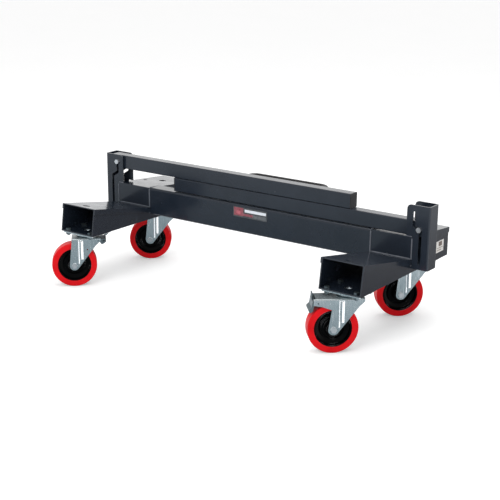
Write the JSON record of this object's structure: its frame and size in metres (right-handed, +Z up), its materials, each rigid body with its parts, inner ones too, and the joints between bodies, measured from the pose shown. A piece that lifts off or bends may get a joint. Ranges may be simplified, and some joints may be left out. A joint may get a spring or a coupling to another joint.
{
  "type": "folding sheet trolley",
  "caption": "Folding trolley for sheets and boards: a box beam joins two cross-members on braked and plain swivel castors, with slotted end posts holding hinged square uprights folded flat.",
  "frame": {"origin": "on the floor under the middle of the trolley's footprint, 80 mm in front of the beam's middle plane", "axes": "+X along the beam to the right, +Y to the back, +Z up"},
  "size_m": [1.36, 0.6214, 0.425],
  "materials": {
    "coat_frame": "satin-gloss anthracite powder coat",
    "coat_upright": "satin-gloss anthracite powder coat",
    "zinc_bolts": "bright zinc plate",
    "black_plastic": "moulded black plastic",
    "grip": "black dipped grip",
    "castor_zinc": "zinc-plated pressed steel",
    "brake_steel": "dark zinc-plated steel",
    "ball_steel": "polished bearing steel",
    "wheel_black": "moulded nylon centre",
    "tyre_red": "cast polyurethane tread",
    "plate_print": "printed film plate without lettering",
    "tag_print": "printed film label without lettering"
  },
  "bodies": {
    "frame": {"main_beam": "coat_frame", "cross_member_left": "coat_frame", "cross_member_right": "coat_frame", "front_cover_left": "coat_frame", "front_cover_right": "coat_frame", "rear_cover_left": "coat_frame", "rear_cover_right": "coat_frame", "post_left": "coat_frame", "post_right": "coat_frame", "pivot_bolts": "zinc_bolts", "pivot_nuts": "zinc_bolts", "castor_bolts": "zinc_bolts", "castor_nuts": "zinc_bolts", "kingpins": "zinc_bolts", "name_plate": "plate_print", "load_label": "tag_print", "castor_plate_fl": "castor_zinc", "castor_plate_fr": "castor_zinc", "castor_plate_rl": "castor_zinc", "castor_plate_rr": "castor_zinc", "upright_right": "coat_upright", "end_cap_right": "black_plastic", "handle_right": "grip"},
    "left_upright": {"upright_left": "coat_upright", "end_cap_left": "black_plastic", "handle_left": "grip"},
    "fork_fl_group": {"fork_fl": "castor_zinc", "ball_race_fl": "ball_steel", "axle_bolt_fl": "zinc_bolts", "axle_nut_fl": "zinc_bolts", "axle_sleeve_fl": "castor_zinc"},
    "wheel_fl": {"wheel_bearings_fl": "ball_steel", "wheel_centre_fl": "wheel_black", "tyre_fl": "tyre_red"},
    "fork_fr_group": {"fork_fr": "castor_zinc", "ball_race_fr": "ball_steel", "axle_bolt_fr": "zinc_bolts", "axle_nut_fr": "zinc_bolts", "axle_sleeve_fr": "castor_zinc"},
    "wheel_fr": {"wheel_bearings_fr": "ball_steel", "wheel_centre_fr": "wheel_black", "tyre_fr": "tyre_red"},
    "fork_rl_group": {"fork_rl": "castor_zinc", "ball_race_rl": "ball_steel", "axle_bolt_rl": "zinc_bolts", "axle_nut_rl": "zinc_bolts", "axle_sleeve_rl": "castor_zinc"},
    "wheel_rl": {"wheel_bearings_rl": "ball_steel", "wheel_centre_rl": "wheel_black", "tyre_rl": "tyre_red"},
    "fork_rr_group": {"fork_rr": "castor_zinc", "ball_race_rr": "ball_steel", "axle_bolt_rr": "zinc_bolts", "axle_nut_rr": "zinc_bolts", "axle_sleeve_rr": "castor_zinc"},
    "wheel_rr": {"wheel_bearings_rr": "ball_steel", "wheel_centre_rr": "wheel_black", "tyre_rr": "tyre_red"},
    "pedal_fr": {"brake_pedal_fr": "brake_steel"},
    "lever_fl": {"brake_lever_fl": "brake_steel"}
  },
  "joints": [
    {"name": "left_upright_hinge", "type": "hinge", "parent": "frame", "child": "left_upright", "pos_m": [-0.625, 0.08, 0.398], "axis": [0, -1, 0], "range_deg": [0, 90]},
    {"name": "swivel_fl", "type": "hinge", "parent": "frame", "child": "fork_fl_group", "pos_m": [-0.545, -0.207, 0.19], "axis": [0, 0, 1], "continuous": true},
    {"name": "wheel_spin_fl", "type": "hinge", "parent": "fork_fl_group", "child": "wheel_fl", "pos_m": [-0.57953, -0.24034, 0.08], "axis": [-0.6947, 0.7193, 0], "continuous": true},
    {"name": "swivel_fr", "type": "hinge", "parent": "frame", "child": "fork_fr_group", "pos_m": [0.545, -0.207, 0.19], "axis": [0, 0, 1], "continuous": true},
    {"name": "wheel_spin_fr", "type": "hinge", "parent": "fork_fr_group", "child": "wheel_fr", "pos_m": [0.50933, -0.23912, 0.08], "axis": [-0.6691, 0.7431, 0], "continuous": true},
    {"name": "swivel_rl", "type": "hinge", "parent": "frame", "child": "fork_rl_group", "pos_m": [-0.545, 0.215, 0.19], "axis": [0, 0, 1], "continuous": true},
    {"name": "wheel_spin_rl", "type": "hinge", "parent": "fork_rl_group", "child": "wheel_rl", "pos_m": [-0.58383, 0.18679, 0.08], "axis": [-0.5878, 0.809, 0], "continuous": true},
    {"name": "swivel_rr", "type": "hinge", "parent": "frame", "child": "fork_rr_group", "pos_m": [0.545, 0.215, 0.19], "axis": [0, 0, 1], "continuous": true},
    {"name": "wheel_spin_rr", "type": "hinge", "parent": "fork_rr_group", "child": "wheel_rr", "pos_m": [0.51047, 0.18166, 0.08], "axis": [-0.6947, 0.7193, 0], "continuous": true},
    {"name": "brake_pedal_hinge", "type": "hinge", "parent": "fork_fr_group", "child": "pedal_fr", "pos_m": [0.47291, -0.27191, 0.166], "axis": [0.6691, -0.7431, 0], "range_deg": [0, 8]},
    {"name": "brake_lever_hinge", "type": "hinge", "parent": "fork_fl_group", "child": "lever_fl", "pos_m": [-0.51767, -0.1806, 0.17], "axis": [-0.6947, 0.7193, 0], "range_deg": [0, 8]}
  ]
}
